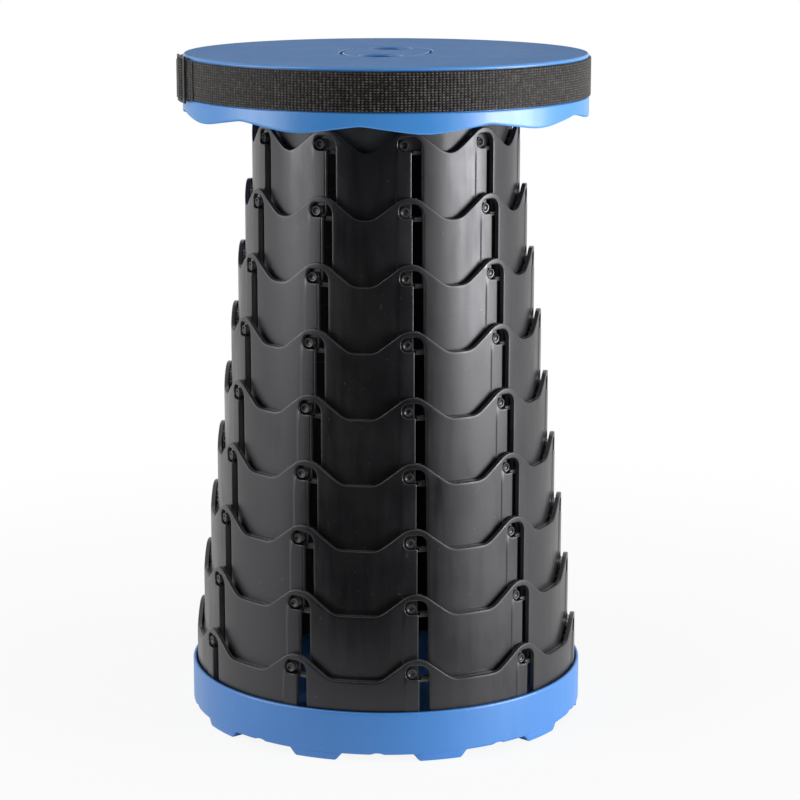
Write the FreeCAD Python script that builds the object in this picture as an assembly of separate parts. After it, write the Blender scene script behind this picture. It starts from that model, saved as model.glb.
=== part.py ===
"""Collapsible telescopic stool, drawn extended and locked.

Nine wavy-topped rings hang inside one another between a round base and a round seat.
Each ring carries a row of pins near its lower edge, and they catch in the notches of
the next, wider ring below. +Z is up, the floor is z = 0 and the axis is x = y = 0.
The front is -Y, and angles are counted from the front towards +X, seen from above.
"""
import FreeCAD, Part
import math
import os

# Columns of pins, notches and slots, the same on every ring
columns = 10
first_column_angle = 7.4

# Sliding rings
tier_count = 9
first_tier_radius = 82.3
tier_step = 4.75
tier_wall = 2.6
tier_pitch = 38.8
stage_clearance = 0.05

# Pins, near the lower edge of each ring
pin_radius = 2.9
pin_above_edge = 5.8
pin_tip_recess = 0.8
pin_root_depth = 0.3

# Notch and slot that the pins of the ring inside stand in
notch_clearance = 0.7
notch_top = 5.1
notch_corner_radius = 6.5
slot_from_pin = 4.6
slot_width = 6.3
lower_band_height = 2.6

# Raised strip under each notch, hollow behind so that the pin can run down it
strip_half_width = 4.2
strip_proud = 0.5
strip_skin = 1.1
groove_side_clearance = 0.2

# Wavy upper edge
crest_above_pin = 8.6
crest_from_pin = 3.2
crest_rise = 13.4
crest_half_width = 26.5
crest_radius = 13.0
trough_radius = 12.5

# Guide flange round the foot of each ring
flange_height = 1.0
flange_step_height = 2.4
flange_step_inset = 1.2
flange_clearance = 0.2
flange_root_depth = 0.5

# Base tray
base_radius = 123.2
base_wall = 2.2
base_wall_height = 26.1
floor_thickness = 2.6
floor_above_wall_edge = 1.9
foot_height = 4.7
foot_inset = 0.8
foot_depth = 13.0
foot_half_width = 16.5
foot_side_slope = 3.5
foot_from_column = 8.2
edge_scoop_half_width = 4.0
edge_scoop_height = 0.9
base_rib_thickness = 2.0
base_rib_inner_radius = 20.0
base_ring_rib_radius = 62.0
base_pocket_skin = 0.8
base_pocket_clearance = 0.2

# Seat shell
seat_above_first_pins = 48.7
seat_thickness = 3.0
seat_radius = 124.2
seat_lip_inset = 0.4
seat_edge_bevel = 1.3
skirt_depth = 38.0
skirt_wave_rise = 4.4
skirt_low_radius = 80.0
skirt_high_radius = 26.0
skirt_wave_angle = 11.0
skirt_clearance = 0.4
skirt_base_clearance = 0.4
outer_rib_depth = 2.0
inner_rib_depth = 5.0
seat_rib_thickness = 2.0
seat_rib_gap = 0.6
ring_rib_radius = 61.0

# Strap round the seat
strap_width = 23.1
strap_thickness = 1.6
strap_below_top = 2.2
strap_channel_depth = 0.8
strap_channel_side = 0.3
strap_seat_clearance = 0.1
tail_thickness = 1.2
tail_start_angle = -66.0
tail_end_angle = -96.0

# Three-bar buckle on the strap
buckle_angle = -76.0
buckle_bar_width = 3.0
buckle_slot_width = 7.5
buckle_thickness = 1.3
buckle_rail_width = 2.2
buckle_rail_clearance = 0.3
buckle_tail_clearance = 0.1
ramp_start = 1.0
ramp_run = 4.5

# Oval plate with two finger holes
plate_half_length = 47.5
plate_half_width = 27.5
plate_gap = 0.9
plate_turn = -6.1
ledge_width = 3.0
ledge_thickness = 2.0
finger_hole_radius = 12.25
finger_hole_spacing = 61.0
finger_collar_wall = 2.0
finger_collar_depth = 10.0
finger_hole_bevel = 1.5
clip_width = 8.0
clip_thickness = 1.5
clip_hook = 1.2
clip_clearance = 0.1
clip_side_clearance = 0.6

# Collar under the seat and its screws
collar_flange_width = 12.5
collar_flange_thickness = 2.6
screw_count = 5
screw_radius = 1.75
screw_clearance = 0.05
screw_head_radius = 3.6
screw_head_height = 2.2
screw_tip_clearance = 0.3
boss_radius = 4.2
boss_height = 6.0

# How far a cutting tool runs past the faces it cuts
overrun = 2.0

# Worked out from the sizes above
column_step = 360.0 / columns
half_step = math.radians(column_step / 2)
base_edge = foot_height
floor_low = base_edge + floor_above_wall_edge
floor_top = floor_low + floor_thickness
base_top = base_edge + base_wall_height
base_inner = base_radius - base_wall
slot_far = slot_from_pin + slot_width
first_pins = floor_top + pin_above_edge + tier_count * tier_pitch
seat_top = first_pins + seat_above_first_pins
seat_under = seat_top - seat_thickness
skirt_low = seat_top - skirt_depth
skirt_inner = first_tier_radius + (tier_count - 1) * tier_step + strip_proud + skirt_clearance
strap_top = seat_top - strap_below_top
strap_low = strap_top - strap_width
channel_radius = seat_radius - strap_channel_depth
strap_inner = channel_radius + strap_seat_clearance
strap_outer = strap_inner + strap_thickness
tail_outer = strap_outer + tail_thickness
buckle_inner = tail_outer + buckle_tail_clearance
buckle_outer = buckle_inner + buckle_thickness
loop_inner = buckle_outer + strap_seat_clearance
tier_travel = tier_pitch - stage_clearance
seat_travel = skirt_low - base_top - skirt_base_clearance - (tier_count - 1) * tier_travel


def vector(x, y, z):
    return FreeCAD.Vector(x, y, z)


def tier_radius(number):
    """Outer radius of ring number 1 to tier_count; number 0 is the collar under the seat."""
    return first_tier_radius + (number - 1) * tier_step


def tier_low(number):
    """Height of a ring's lower edge when the stool is extended."""
    return floor_top + (tier_count - number) * tier_pitch


def turned(shape, angle):
    """A copy turned about the stool's axis."""
    copy = shape.copy()
    copy.rotate(vector(0, 0, 0), vector(0, 0, 1), angle)
    return copy


def all_round(shape, first_angle, count=columns):
    """Evenly spaced copies, the first at first_angle."""
    return [turned(shape, first_angle + index * 360.0 / count) for index in range(count)]


def ring(outer, inner, low, high):
    body = Part.makeCylinder(outer, high - low, vector(0, 0, low))
    return body.cut(Part.makeCylinder(inner, high - low, vector(0, 0, low)))


def arc_band(outer, inner, low, high, start_angle, end_angle):
    """Part of a ring between two angles from the front."""
    sweep = end_angle - start_angle
    up = vector(0, 0, 1)
    body = Part.makeCylinder(outer, high - low, vector(0, 0, low), up, sweep)
    body = body.cut(Part.makeCylinder(inner, high - low, vector(0, 0, low)))
    return turned(body, start_angle - 90)


def radial_prism(edges, near, far):
    """A closed outline in the plane of X and Z, carried out to the front from near to far."""
    face = Part.Face(Part.Wire(edges))
    face.translate(vector(0, -near, 0))
    return face.extrude(vector(0, near - far, 0))


def radial_cylinder(radius, x, z, near, far):
    return Part.makeCylinder(radius, far - near, vector(x, -near, z), vector(0, -1, 0))


def radial_box(left, right, low, high, near, far):
    return Part.makeBox(right - left, far - near, high - low, vector(left, -far, low))


def outline(points):
    """Closed edges through (x, z) points; ((x, z), (x, z)) is an arc by its middle and its end."""
    edges = []
    last = points[0]
    for step in points[1:] + [points[0]]:
        start = vector(last[0], 0, last[1])
        if isinstance(step[0], tuple):
            middle, end = step
            arc = Part.Arc(start, vector(middle[0], 0, middle[1]), vector(end[0], 0, end[1]))
            edges.append(arc.toShape())
            last = end
        elif math.hypot(step[0] - last[0], step[1] - last[1]) > 1e-7:
            edges.append(Part.LineSegment(start, vector(step[0], 0, step[1])).toShape())
            last = step
    return edges


def wave_points(half_span, rise, half_width, top_radius, foot_radius, level, sign):
    """One wave: flat foot, small arc, straight flank, large arc over the top, and back down.

    The straight flank touches both arcs. sign is 1 for a wave that stands up from level
    and -1 for one that hangs down from it.
    """
    width = min(half_width, half_span)
    across = width
    up = top_radius + foot_radius - rise
    reach = math.hypot(across, up)
    normal = math.atan2(up, across) + math.acos((top_radius + foot_radius) / reach)
    half_normal = (normal + math.pi / 2) / 2

    def place(x, z):
        return (x, level + sign * z)

    def on_top(angle, side):
        return place(side * top_radius * math.cos(angle), rise - top_radius + top_radius * math.sin(angle))

    def on_foot(angle, side):
        return place(side * (width - foot_radius * math.cos(angle)), foot_radius * (1 - math.sin(angle)))

    points = [place(-half_span, 0)]
    if half_span - width > 1e-6:
        points.append(place(-width, 0))
    points.append((on_foot(half_normal, -1), on_foot(normal, -1)))
    points.append(on_top(normal, -1))
    points.append((place(0, rise), on_top(normal, 1)))
    points.append(on_foot(normal, 1))
    points.append((on_foot(half_normal, 1), place(width, 0)))
    points.append(place(half_span, 0))
    return points


def wavy_sector(outer, inner, low, high, wave, far_side):
    """One column's share of a ring, cut to a wave on the side away from far_side."""
    sector = arc_band(outer, inner, low, high, -column_step / 2, column_step / 2)
    half_span = outer * math.sin(half_step) + overrun
    points = wave + [(half_span, far_side), (-half_span, far_side)]
    near = inner * math.cos(half_step) - overrun
    return sector.common(radial_prism(outline(points), near, outer + overrun))


def joined(shapes):
    return shapes[0].multiFuse(shapes[1:]).removeSplitter()


def notch_outline(pin_height, slot_low):
    """Rounded seat round the pin, open on its right into the slot that runs down."""
    reach = pin_radius + notch_clearance
    diagonal = reach * math.sqrt(0.5)
    top = pin_height + notch_top
    left_z = top - reach
    corner_x = slot_far - notch_corner_radius
    corner_z = top - notch_corner_radius
    corner_diagonal = notch_corner_radius * math.sqrt(0.5)
    return [
        (-reach, left_z),
        ((-diagonal, left_z + diagonal), (0, top)),
        (corner_x, top),
        ((corner_x + corner_diagonal, corner_z + corner_diagonal), (slot_far, corner_z)),
        (slot_far, slot_low),
        (slot_from_pin, slot_low),
        (slot_from_pin, pin_height - reach),
        (0, pin_height - reach),
        ((-diagonal, pin_height - diagonal), (-reach, pin_height)),
    ]


def pin(number, tip_radius):
    root = tier_radius(number) - pin_root_depth
    return radial_cylinder(pin_radius, 0, tier_low(number) + pin_above_edge, root, tip_radius)


def guide_flange(number):
    """Foot flange that runs on the inner wall of the next ring or of the base, higher by each pin."""
    root = tier_radius(number) - flange_root_depth
    bore = base_inner if number == tier_count else tier_radius(number + 1) - tier_wall
    rim = bore - flange_clearance
    low = tier_low(number)
    left = math.degrees((slot_from_pin + flange_step_inset) / rim)
    right = math.degrees(slot_far / rim)
    step = arc_band(rim, root, low, low + flange_step_height, left, right)
    return [ring(rim, root, low, low + flange_height)] + all_round(step, first_column_angle)


def tier(number):
    """A ring with its wavy edge, notches, slots, strips and its own row of pins."""
    outer = tier_radius(number)
    inner = outer - tier_wall
    low = tier_low(number)
    notch_pin = low + pin_above_edge + tier_pitch
    top = notch_pin + crest_above_pin
    half_span = outer * math.sin(half_step) + overrun
    trough = top - crest_rise
    wave = wave_points(half_span, crest_rise, crest_half_width, crest_radius, trough_radius, trough, 1)
    sector = wavy_sector(outer, inner, low, top + overrun, wave, low - overrun)
    sector = turned(sector, math.degrees(crest_from_pin / outer))
    strip = ring(outer + strip_proud, outer - pin_root_depth, low, notch_pin - pin_radius / 2)
    strip = strip.common(radial_box(-strip_half_width, slot_from_pin, low, notch_pin, 0, outer + overrun))
    sector = sector.fuse(strip)
    slot_low = low + lower_band_height
    notch = radial_prism(outline(notch_outline(notch_pin, slot_low)), inner - overrun, outer + overrun)
    groove_half = pin_radius + groove_side_clearance
    groove_floor = outer + strip_proud - strip_skin
    groove = radial_box(-groove_half, groove_half, slot_low, notch_pin, inner - overrun, groove_floor)
    sector = sector.cut(notch).cut(groove)
    if number == tier_count:
        tip = base_radius - base_pocket_skin - base_pocket_clearance
    else:
        tip = tier_radius(number + 1) - pin_tip_recess
    sector = sector.fuse(pin(number, tip))
    return joined(all_round(sector, first_column_angle) + guide_flange(number))


def screw_places():
    radius = tier_radius(0) - tier_wall - collar_flange_width / 2
    spot = turned(Part.Vertex(vector(0, -radius, 0)), first_column_angle)
    return [place.Point for place in all_round(spot, 0, screw_count)]


def upright(radius, low, high, place):
    return Part.makeCylinder(radius, high - low, vector(place.x, place.y, low))


def top_collar():
    """The ring fixed under the seat, with an inner flange for the screws."""
    outer = tier_radius(0)
    inner = outer - tier_wall
    low = tier_low(0)
    flange_top = seat_under - boss_height
    flange_low = flange_top - collar_flange_thickness
    body = ring(outer, inner, low, seat_under)
    shelf = ring(inner + flange_root_depth, inner - collar_flange_width, flange_low, flange_top)
    for place in screw_places():
        shelf = shelf.cut(upright(screw_radius + screw_clearance, flange_low, flange_top, place))
    pins = all_round(pin(0, tier_radius(1) - pin_tip_recess), first_column_angle)
    return joined([body, shelf] + guide_flange(0) + pins)


def collar_screws():
    """Self-tapping screws, driven up through the collar's flange into the seat's bosses."""
    flange_low = seat_under - boss_height - collar_flange_thickness
    tip = seat_under - screw_tip_clearance
    screws = []
    for place in screw_places():
        shank = upright(screw_radius, flange_low, tip, place)
        head = upright(screw_head_radius, flange_low - screw_head_height, flange_low, place)
        screws.append(shank.fuse(head).removeSplitter())
    return Part.makeCompound(screws)


def oval(half_length, half_width, low, high):
    """Upright elliptic prism, its long axis close to front and back."""
    ellipse = Part.Ellipse(vector(0, 0, low), half_length, half_width)
    face = Part.Face(Part.Wire([ellipse.toShape()]))
    return turned(face.extrude(vector(0, 0, high - low)), 90 + plate_turn)


def finger_places():
    spot = turned(Part.Vertex(vector(0, -finger_hole_spacing / 2, 0)), plate_turn)
    return [place.Point for place in all_round(spot, 0, 2)]


def seat_shell():
    """Round top with an oval window, a strap channel and a scalloped skirt."""
    lip = seat_radius - seat_lip_inset
    channel_top = strap_top + strap_channel_side
    channel_low = strap_low - strap_channel_side
    bevel_low = seat_top - seat_edge_bevel
    top = Part.makeCylinder(channel_radius, seat_thickness, vector(0, 0, seat_under))
    rim = ring(lip, skirt_inner, channel_top, bevel_low)
    corner = Part.makeCone(lip, lip - seat_edge_bevel, seat_edge_bevel, vector(0, 0, bevel_low))
    top = top.cut(ring(lip, lip - 2 * seat_edge_bevel, bevel_low, seat_top)).fuse(corner)
    wall = ring(channel_radius, skirt_inner, channel_low, seat_under)
    wave_width = seat_radius * math.sin(half_step)
    half_span = wave_width + overrun
    skirt_high = skirt_low + skirt_wave_rise
    wave = wave_points(
        half_span, skirt_wave_rise, wave_width, skirt_low_radius, skirt_high_radius, skirt_high, -1
    )
    sector = wavy_sector(
        seat_radius, skirt_inner, skirt_low - overrun, channel_low, wave, channel_low + overrun
    )
    body = joined([top, rim, wall] + all_round(sector, skirt_wave_angle))

    collar_outer = tier_radius(0)
    collar_inner = collar_outer - tier_wall
    rib_half = seat_rib_thickness / 2
    inner_low = seat_under - inner_rib_depth
    inner_end = collar_inner - seat_rib_gap
    inner_rib = radial_box(-rib_half, rib_half, inner_low, seat_under, ring_rib_radius, inner_end)
    outer_low = seat_under - outer_rib_depth
    outer_start = collar_outer + seat_rib_gap
    outer_end = (skirt_inner + seat_radius) / 2
    outer_rib = radial_box(-rib_half, rib_half, outer_low, seat_under, outer_start, outer_end)
    extras = all_round(inner_rib, first_column_angle) + all_round(outer_rib, first_column_angle)
    extras.append(ring(ring_rib_radius + rib_half, ring_rib_radius - rib_half, inner_low, seat_under))
    for place in screw_places():
        extras.append(upright(boss_radius, seat_under - boss_height, seat_under, place))
    ledge_low = seat_under - ledge_thickness
    window_length = plate_half_length + plate_gap
    window_width = plate_half_width + plate_gap
    extras.append(oval(window_length + ledge_width, window_width + ledge_width, ledge_low, seat_under))
    body = joined([body] + extras)
    body = body.cut(oval(window_length, window_width, seat_under, seat_top + overrun))
    body = body.cut(oval(window_length - ledge_width, window_width - ledge_width, ledge_low, seat_top))
    for place in screw_places():
        body = body.cut(upright(screw_radius + screw_clearance, seat_under - boss_height, seat_under, place))
    return body.removeSplitter()


def finger_plate():
    """Oval insert with two finger holes, short collars below them and four snap clips."""
    collar_low = seat_under - finger_collar_depth
    body = oval(plate_half_length, plate_half_width, seat_under, seat_top)
    for place in finger_places():
        body = body.fuse(upright(finger_hole_radius + finger_collar_wall, collar_low, seat_under, place))
    for place in finger_places():
        body = body.cut(upright(finger_hole_radius, collar_low, seat_top, place))
        bevel_low = vector(place.x, place.y, seat_top - finger_hole_bevel)
        wide = finger_hole_radius + finger_hole_bevel
        body = body.cut(Part.makeCone(finger_hole_radius, wide, finger_hole_bevel, bevel_low))
    hook_top = seat_under - ledge_thickness - clip_clearance
    hook_low = hook_top - clip_thickness
    side = clip_width / 2
    for half_size, angle in ((plate_half_length, 0), (plate_half_width, 90)):
        edge = half_size + plate_gap - ledge_width - clip_side_clearance
        leg = radial_box(-side, side, hook_low, seat_under, edge - clip_thickness, edge)
        hook = radial_box(-side, side, hook_low, hook_top, edge - clip_thickness, edge + clip_hook)
        for clip in all_round(leg.fuse(hook), angle + plate_turn, 2):
            body = body.fuse(clip)
    return body.removeSplitter()


def ramp(start_angle, start_radius, end_angle, end_radius):
    """Slanting stretch of the strap's tail between two radii."""
    corners = []
    for angle, radius in (
        (start_angle, start_radius),
        (start_angle, start_radius + tail_thickness),
        (end_angle, end_radius + tail_thickness),
        (end_angle, end_radius),
    ):
        turn = math.radians(angle)
        corners.append(vector(radius * math.sin(turn), -radius * math.cos(turn), strap_low))
    face = Part.Face(Part.makePolygon(corners + corners[:1]))
    return face.extrude(vector(0, 0, strap_width))


def strap_band():
    """Webbing round the rim; its doubled tail passes over the buckle's middle bar."""
    degree = math.degrees(1 / buckle_inner)
    bar = buckle_bar_width * degree / 2
    slot = buckle_slot_width * degree
    loop = bar + slot - (ramp_start + ramp_run) * degree
    foot = bar + slot - ramp_start * degree
    pieces = [ring(strap_outer, strap_inner, strap_low, strap_top)]
    for side in (-1, 1):
        flat_end = tail_end_angle if side < 0 else tail_start_angle
        low_angle, high_angle = sorted((buckle_angle + side * foot, flat_end))
        pieces.append(arc_band(tail_outer, strap_outer, strap_low, strap_top, low_angle, high_angle))
        pieces.append(ramp(buckle_angle + side * foot, strap_outer, buckle_angle + side * loop, loop_inner))
    loop_outer = loop_inner + tail_thickness
    pieces.append(
        arc_band(loop_outer, loop_inner, strap_low, strap_top, buckle_angle - loop, buckle_angle + loop)
    )
    return joined(pieces)


def strap_buckle():
    """Three upright bars between an upper and a lower rail, bent to the rim."""
    degree = math.degrees(1 / buckle_inner)
    bar = buckle_bar_width * degree
    pitch = (buckle_bar_width + buckle_slot_width) * degree
    end = pitch + bar / 2
    low = strap_low - buckle_rail_clearance
    high = strap_top + buckle_rail_clearance
    pieces = []
    for offset in (-pitch, 0, pitch):
        middle = buckle_angle + offset
        pieces.append(arc_band(buckle_outer, buckle_inner, low, high, middle - bar / 2, middle + bar / 2))
    for rail_low, rail_high in ((low - buckle_rail_width, low), (high, high + buckle_rail_width)):
        pieces.append(
            arc_band(buckle_outer, buckle_inner, rail_low, rail_high, buckle_angle - end, buckle_angle + end)
        )
    return joined(pieces)


def base_shell():
    """Round tray that stands on foot blocks and holds the lowest ring."""
    wall = ring(base_radius, base_inner, base_edge, base_top)
    floor_radius = (base_inner + base_radius) / 2
    floor = Part.makeCylinder(floor_radius, floor_thickness, vector(0, 0, floor_low))
    foot_outer = base_radius - foot_inset
    foot_inner = foot_outer - foot_depth
    foot = arc_band(foot_outer, foot_inner, 0, floor_low, -column_step / 2, column_step / 2)
    narrow = foot_half_width - foot_side_slope
    sides = outline(
        [
            (-foot_half_width, base_edge),
            (-foot_half_width, floor_low),
            (foot_half_width, floor_low),
            (foot_half_width, base_edge),
            (narrow, 0),
            (-narrow, 0),
        ]
    )
    foot = foot.common(radial_prism(sides, foot_inner - overrun, foot_outer + overrun))
    rib_half = base_rib_thickness / 2
    rib_end = (foot_inner + foot_outer) / 2
    rib = radial_box(-rib_half, rib_half, base_edge, floor_low, base_rib_inner_radius, rib_end)
    foot_angle = first_column_angle + foot_from_column
    ring_rib = ring(base_ring_rib_radius + rib_half, base_ring_rib_radius - rib_half, base_edge, floor_low)
    hub = ring(base_rib_inner_radius + rib_half, base_rib_inner_radius - rib_half, base_edge, floor_low)
    body = joined([wall, floor, ring_rib, hub] + all_round(foot, foot_angle) + all_round(rib, foot_angle))
    scoop_radius = (edge_scoop_half_width**2 + edge_scoop_height**2) / (2 * edge_scoop_height)
    scoop_middle = base_edge + edge_scoop_height - scoop_radius
    scoop = radial_cylinder(scoop_radius, 0, scoop_middle, base_inner - overrun, base_radius + overrun)
    pocket = radial_cylinder(
        pin_radius + base_pocket_clearance,
        0,
        tier_low(tier_count) + pin_above_edge,
        base_inner - overrun,
        base_radius - base_pocket_skin,
    )
    for tool in all_round(scoop, foot_angle + column_step / 2) + all_round(pocket, first_column_angle):
        body = body.cut(tool)
    return body.removeSplitter()


os.makedirs("parts", exist_ok=True)
nodes = {
    "base_shell": base_shell(),
    "top_collar": top_collar(),
    "collar_screws": collar_screws(),
    "seat_shell": seat_shell(),
    "finger_plate": finger_plate(),
    "strap_band": strap_band(),
    "strap_buckle": strap_buckle(),
}
for tier_number in range(1, tier_count + 1):
    nodes[f"tier_{tier_number}"] = tier(tier_number)
for name, shape in nodes.items():
    shape.exportStep(f"parts/{name}.step")
    box = shape.BoundBox
    print(
        f"{name}: {len(shape.Solids)} solid(s), valid {shape.isValid()}, {shape.Volume / 1000:.1f} cm3,"
        f" z {box.ZMin:.2f} to {box.ZMax:.2f}, x {box.XMin:.2f} to {box.XMax:.2f}"
    )
print(f"height {seat_top:.2f} mm, ring travel {tier_travel:.2f} mm, seat travel {seat_travel:.2f} mm")
print(f"collapsed height {seat_top - seat_travel - (tier_count - 1) * tier_travel:.2f} mm")
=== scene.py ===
# %% [markdown]
# # A telescopic camping stool
# Black wavy rings hang inside one another between a blue base and a blue seat, and a woven strap
# runs round the seat. Almost every piece is a curved sheet with rounded edges. Such a sheet can be
# modelled by hand, or worked out as a grid of points on a cylinder. The grid is used here, because
# every ring is the same shape at another size.

import bpy
import math
import numpy as np
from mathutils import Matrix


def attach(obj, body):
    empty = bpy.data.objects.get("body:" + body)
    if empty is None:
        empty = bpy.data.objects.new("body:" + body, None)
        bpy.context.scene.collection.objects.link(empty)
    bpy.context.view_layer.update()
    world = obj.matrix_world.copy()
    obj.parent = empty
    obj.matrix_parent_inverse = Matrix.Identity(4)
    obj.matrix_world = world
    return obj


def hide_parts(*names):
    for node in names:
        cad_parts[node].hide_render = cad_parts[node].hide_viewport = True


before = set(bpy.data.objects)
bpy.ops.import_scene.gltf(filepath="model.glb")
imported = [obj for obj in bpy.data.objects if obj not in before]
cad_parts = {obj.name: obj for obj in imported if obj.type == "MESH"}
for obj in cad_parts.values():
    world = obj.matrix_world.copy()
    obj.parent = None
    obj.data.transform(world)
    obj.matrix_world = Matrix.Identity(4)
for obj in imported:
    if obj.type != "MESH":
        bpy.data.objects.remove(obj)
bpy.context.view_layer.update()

# %% [markdown]
# ## The camera
# The photograph was taken with a long lens from 1.56 m away, looking down by 12 degrees. A camera
# can be placed by eye, but here the ellipses of the seat and the base gave its height and tilt. The
# stool stands a little left of the middle, which the lens shift does.

# %% Camera
scene = bpy.context.scene
camera = bpy.data.objects.new("camera", bpy.data.cameras.new("camera"))
scene.collection.objects.link(camera)
camera.location = (0.0, -1.5634, 0.5264)
camera.rotation_euler = (math.radians(90 - 11.955), 0.0, 0.0)
camera.data.sensor_width = 36.0
camera.data.lens = 114.4
camera.data.shift_x = 0.0175
scene.camera = camera
print("camera lens", camera.data.lens, "mm")

# %% [markdown]
# ## Sizes
# All sizes are in millimetres and angles in degrees, as on a drawing. Angles are counted from the
# front towards the right. One function turns them into Blender's metres at the very end.

# %% Sizes shared by several pieces
mm = 0.001
column_count = 10
column_step = 360.0 / column_count
first_column = 7.4
ring_count = 9
first_radius = 82.3
radius_step = 4.75
wall = 2.6
pitch = 38.8
floor_top = 9.2
pin_above_edge = 5.8
seat_top = floor_top + pin_above_edge + ring_count * pitch + 48.7
seat_radius = 124.2
base_radius = 123.2


def ring_radius(number):
    return first_radius + (number - 1) * radius_step


def ring_low(number):
    return floor_top + (ring_count - number) * pitch


print("seat top", round(seat_top, 1), "mm")

# %% [markdown]
# ## From arrays to meshes
# A mesh is a list of points and a list of faces, and Blender can build one from whole arrays, which
# is quicker than a loop over points. Points of two grids that lie in one place are given one number,
# and so the seam between the grids is closed.

# %% Mesh helpers
def on_cylinder(radius, angle, height):
    """Point at a radius, an angle in degrees and a height: x is r sin a and y is -r cos a."""
    turn = np.radians(angle)
    radius, turn, height = np.broadcast_arrays(radius, turn, height)
    return np.stack([radius * np.sin(turn), -radius * np.cos(turn), height], axis=-1)


def grid_faces(columns, rows, wrap_columns=False, wrap_rows=False):
    """Four-sided faces of a grid in which the point (i, j) has the number i * rows + j."""
    i = np.arange(columns if wrap_columns else columns - 1)[:, None]
    j = np.arange(rows if wrap_rows else rows - 1)[None, :]
    right = (i + 1) % columns
    above = (j + 1) % rows
    faces = [i * rows + j, right * rows + j, right * rows + above, i * rows + above]
    return np.stack(np.broadcast_arrays(*faces), axis=-1).reshape(-1, 4)


def stack_parts(parts):
    """One array of points and one of faces from (points, faces) pairs."""
    points, faces, start = [], [], 0
    for part_points, part_faces in parts:
        flat = part_points.reshape(-1, 3)
        points.append(flat)
        faces.append(part_faces + start)
        start += len(flat)
    return np.concatenate(points), np.concatenate(faces)


def merge_points(points, faces, step=1e-4):
    """Points closer than the step become one, and points without a face are dropped."""
    keys = np.round(points / step).astype(np.int64)
    first, number = np.unique(keys, axis=0, return_index=True, return_inverse=True)[1:]
    faces = number.reshape(-1)[faces]
    used, faces = np.unique(faces, return_inverse=True)
    return points[first][used], faces.reshape(-1, 4)


def make_piece(name, parts, material, body, stands_for, sharp=40):
    """Mesh object from (points, faces) pairs in millimetres, on a body of the stool.

    A face that has one corner twice after the merge becomes a triangle.
    """
    points, faces = merge_points(*stack_parts(parts))
    corners = [list(dict.fromkeys(face)) for face in faces.tolist()]
    corners = [face for face in corners if len(face) > 2]
    mesh = bpy.data.meshes.new(name)
    mesh.from_pydata((points * mm).tolist(), [], corners)
    mesh.update()
    mesh.shade_smooth()
    mesh.set_sharp_from_angle(angle=math.radians(sharp))
    mesh.materials.append(material)
    piece = bpy.data.objects.new(name, mesh)
    scene.collection.objects.link(piece)
    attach(piece, body)
    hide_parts(*stands_for)
    print(name, len(mesh.vertices), "points", len(mesh.polygons), "faces")


def swept(loops, angles, closed=True):
    """Closed outlines of (radius, height) points, one at each angle, joined to a tube round the axis.

    An outline runs anticlockwise with the radius to the right, so that the faces point outwards. A
    fan of triangles closes each end of an open tube.
    """
    loops = np.broadcast_to(loops, (len(angles),) + loops.shape[-2:])
    points = on_cylinder(loops[..., 0], angles[:, None], loops[..., 1])
    count = loops.shape[1]
    parts = [(points, grid_faces(len(angles), count, closed, True))]
    if not closed:
        for end, order in ((0, 1), (-1, -1)):
            fan = np.concatenate([points[end], points[end].mean(axis=0)[None]])
            here = np.arange(count)
            there = (here + 1) % count
            middle = np.full(count, count)
            first, second = (here, there)[::order]
            parts.append((fan, np.stack([middle, first, second, second], axis=1)))
    return parts


def rounded_box(near, far, low, high, corner, steps=3):
    """Outline of a box of (radius, height) points with quarter circles at its corners."""
    turn = np.radians(np.linspace(0, 90, steps + 1))
    outline = []
    for r, z, start in ((far, low, -90), (far, high, 0), (near, high, 90), (near, low, 180)):
        middle_r = r + (corner if r == near else -corner)
        middle_z = z + (corner if z == low else -corner)
        angle = turn + math.radians(start)
        arc = [middle_r + corner * np.cos(angle), middle_z + corner * np.sin(angle)]
        outline.append(np.stack(arc, axis=1))
    return np.concatenate(outline)


def stacked_rows(rows, angles):
    """Outlines for a sweep, from rows of (radius, height) that change with the angle."""
    return np.stack([np.stack([r + 0 * angles, z + 0 * angles], axis=-1) for r, z in rows], axis=1)


def about_axis(angle):
    """Matrix that turns points about the axis: r sin a and -r cos a get the angle added to a."""
    turn = math.radians(angle)
    across, along = math.cos(turn), math.sin(turn)
    return np.array([[across, along, 0], [-along, across, 0], [0, 0, 1]])


def all_round(parts, count=column_count):
    """Copies of (points, faces) pairs, turned evenly round the axis."""
    copies = []
    for index in range(count):
        spin = about_axis(360.0 / count * index)
        copies += [(points.reshape(-1, 3) @ spin, faces) for points, faces in parts]
    return copies


def spaced(start, end, step):
    """Even values from start to end, about a step apart, without the last."""
    count = max(1, round(abs(end - start) / step))
    return np.linspace(start, end, count + 1)[:-1]


def turned_profile(profile, count=24):
    """Profile of (own radius, height) turned about its own axis."""
    turn = spaced(0, 2 * math.pi, 2 * math.pi / count)[:, None]
    across, along = profile[:, 0] * np.cos(turn), profile[:, 0] * np.sin(turn)
    height = np.broadcast_to(profile[:, 1], across.shape)
    return across, along, height, grid_faces(count, len(profile), wrap_columns=True)


def rounded_edge(side, top, corner, turns, way=-1):
    """Quarter circle between a side and a top, as rows; way is 1 for a side that faces the axis."""
    steps = [(1 - math.cos(turn), 1 - math.sin(turn)) for turn in np.radians(turns)]
    return [(side + way * corner * aside, top - corner * below) for aside, below in steps]


full_circle = spaced(0, 360, 1)
print("one circle:", len(full_circle), "steps")

# %% [markdown]
# ## Small steps in a shader
# A material is a tree of nodes. By hand, each link takes a click. In a script, a helper for each
# kind of step keeps the recipe of a finish readable.

# %% Shader helpers
def new_material(name, sockets):
    """A material with values on its shader's own sockets, its tree and its shader."""
    material = bpy.data.materials.new(name)
    material.use_nodes = True
    shader = material.node_tree.nodes["Principled BSDF"]
    for socket, value in sockets.items():
        shader.inputs[socket].default_value = value
    return material, material.node_tree, shader


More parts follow.
